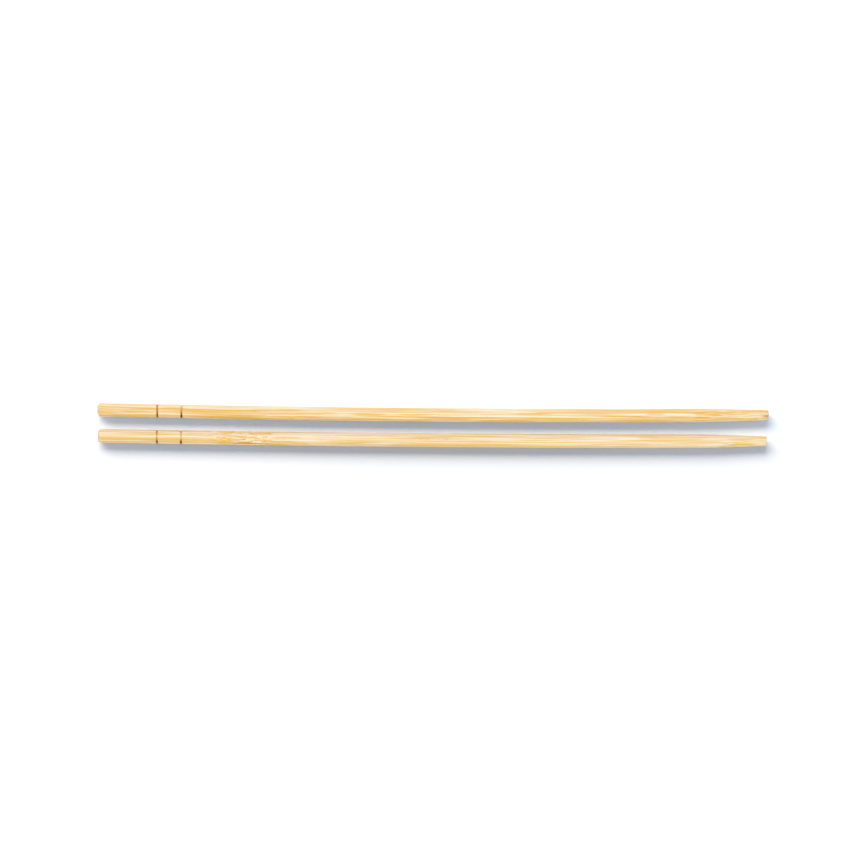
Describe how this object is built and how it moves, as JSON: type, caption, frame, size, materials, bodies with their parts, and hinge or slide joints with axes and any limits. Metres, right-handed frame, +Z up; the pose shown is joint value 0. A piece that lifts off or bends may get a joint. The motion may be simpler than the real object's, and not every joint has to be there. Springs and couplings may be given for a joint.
{
  "type": "bamboo chopsticks",
  "caption": "Disposable round bamboo chopsticks with scored grip rings near rounded butts and short ground tips, lying side by side, for picking up food.",
  "frame": {"origin": "centre of the pair's footprint, on the surface that it lies on", "axes": "+X along the sticks from the butts to the tips, +Y from the front stick to the rear one, +Z up from the table"},
  "size_m": [0.2286, 0.0142, 0.0047],
  "materials": {
    "bamboo": "milled and drum-polished bamboo, bare"
  },
  "bodies": {
    "root": {"rear_chopstick": "bamboo", "front_chopstick": "bamboo"}
  },
  "joints": []
}
